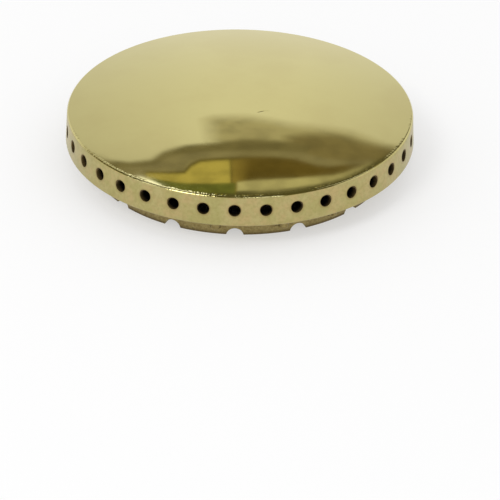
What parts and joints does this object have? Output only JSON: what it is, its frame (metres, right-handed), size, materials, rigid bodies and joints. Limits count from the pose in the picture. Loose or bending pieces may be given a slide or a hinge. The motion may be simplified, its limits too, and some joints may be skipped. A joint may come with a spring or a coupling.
{
  "type": "gas burner cap",
  "caption": "Domed brass cap for a ring gas burner, with flame ports drilled round its band and a notched skirt with locating pegs that drops into the burner head.",
  "frame": {"origin": "middle of the skirt's lower edge, in the plane that the cap stands on", "axes": "+Z along the cap's axis, up through the middle of the dome; -Y through the front notch and the front port"},
  "size_m": [0.1, 0.1, 0.0215],
  "materials": {
    "brass": "mirror-polished dome, satin turned band, bare sand-cast underside"
  },
  "bodies": {
    "root": {"burner_cap": "brass"}
  },
  "joints": []
}
